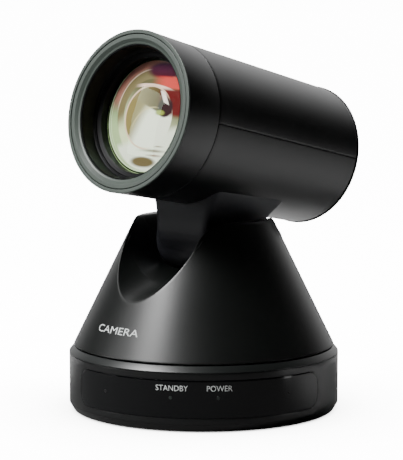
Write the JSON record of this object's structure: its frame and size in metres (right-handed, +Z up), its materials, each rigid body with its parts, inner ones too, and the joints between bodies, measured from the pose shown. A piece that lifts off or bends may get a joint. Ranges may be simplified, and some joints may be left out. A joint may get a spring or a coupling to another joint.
{
  "type": "ptz camera",
  "caption": "Round-base room camera whose cone pans and whose cylindrical zoom head tilts on a neck in a saddle notch.",
  "frame": {"origin": "on the pan axis at the mouth of the tripod socket, in the plane that the feet stand on", "axes": "+Z up along the pan axis; -Y out of the middle of the status window; +X to the viewer's right when facing the window"},
  "size_m": [0.1269, 0.1332, 0.1671],
  "materials": {
    "base_black": "fine satin texture",
    "cone_black": "fine satin texture",
    "head_black": "fine satin texture",
    "neck_grey": "satin, slightly lighter than the shells",
    "cover_grey": "satin",
    "window_gloss": "polished, infrared-transparent",
    "rubber": "matte",
    "brass": "machined",
    "screw_steel": "zinc plated",
    "lamp": "diffuse lens of a status lamp",
    "board": "solder mask",
    "socket_black": "moulded",
    "socket_metal": "tinned sheet",
    "aluminium": "machined",
    "gear_nylon": "natural nylon",
    "bearing_steel": "ground",
    "plate_steel": "pressed, zinc plated",
    "motor_can": "drawn can",
    "belt_rubber": "moulded",
    "ring_grey": "satin grey-green",
    "hood_black": "matte, light-absorbing",
    "front_glass": "polished, green and magenta coating",
    "inner_glass": "polished, coated",
    "sensor": "cover glass over silicon"
  },
  "bodies": {
    "base": {"base_plate": "base_black", "rubber_feet": "rubber", "tripod_insert": "brass", "base_screws": "screw_steel", "base_shell": "base_black", "base_cover": "cover_grey", "status_window": "window_gloss", "status_lights": "lamp", "ir_receiver": "window_gloss", "microphones": "screw_steel", "main_board": "board", "board_screws": "screw_steel", "connector_panel": "base_black", "dc_socket": "socket_black", "lan_socket": "socket_metal", "usb_socket": "socket_metal", "hdmi_socket": "socket_metal", "control_sockets": "socket_black", "pan_post": "aluminium", "pan_gear": "gear_nylon"},
    "turntable": {"pan_bearing": "bearing_steel", "turntable_deck": "aluminium", "cone_front": "cone_black", "cone_rear": "cone_black", "yoke_left": "plate_steel", "yoke_right": "plate_steel", "yoke_screws": "screw_steel", "tilt_bearings": "bearing_steel", "pan_motor": "motor_can", "motor_bracket": "plate_steel", "tilt_motor": "motor_can", "tilt_belt": "belt_rubber"},
    "pan_drive": {"pan_pinion": "gear_nylon"},
    "tilt_drive": {"motor_pulley": "aluminium"},
    "head": {"neck": "neck_grey", "tilt_shaft": "bearing_steel", "tilt_pulley": "aluminium", "head_top": "head_black", "head_bottom": "head_black", "front_sleeve": "head_black", "front_ring": "ring_grey", "lens_hood": "hood_black", "retaining_ring": "hood_black", "lens_barrel": "hood_black", "front_lens": "front_glass", "fixed_lens": "inner_glass", "guide_rods": "bearing_steel", "zoom_motor": "motor_can", "focus_motor": "motor_can", "image_sensor": "sensor", "sensor_board": "board", "video_board": "board", "rear_cap": "head_black", "head_screws": "screw_steel"},
    "zoom_group": {"zoom_carrier": "hood_black", "zoom_lens": "inner_glass"},
    "focus_group": {"focus_carrier": "hood_black", "focus_lens": "inner_glass"}
  },
  "joints": [
    {"name": "pan", "type": "hinge", "parent": "base", "child": "turntable", "pos_m": [0, 0, 0.03], "axis": [0, 0, 1], "range_deg": [-131.2, 208.8]},
    {"name": "tilt", "type": "hinge", "parent": "turntable", "child": "head", "pos_m": [0, 0, 0.075], "axis": [-0.7793, 0.6266, 0], "range_deg": [-42.6, 17.4]},
    {"name": "pan_pinion_spin", "type": "hinge", "parent": "turntable", "child": "pan_drive", "pos_m": [-0.00281, 0.02585, 0.036], "axis": [0, 0, 1], "range_deg": [-440, 700]},
    {"name": "tilt_pulley_spin", "type": "hinge", "parent": "turntable", "child": "tilt_drive", "pos_m": [0.0187, -0.01504, 0.0496], "axis": [-0.7793, 0.6266, 0], "range_deg": [-90, 40]},
    {"name": "zoom", "type": "slide", "parent": "head", "child": "zoom_group", "axis": [-0.6115, -0.7606, 0.2181], "range_m": [-0.014, 0.01]},
    {"name": "focus", "type": "slide", "parent": "head", "child": "focus_group", "axis": [-0.6115, -0.7606, 0.2181], "range_m": [-0.006, 0.004]}
  ],
  "couplings": [
    {"joint": "pan_pinion_spin", "follows": "pan", "ratio": 3.3333},
    {"joint": "tilt_pulley_spin", "follows": "tilt", "ratio": 2}
  ]
}
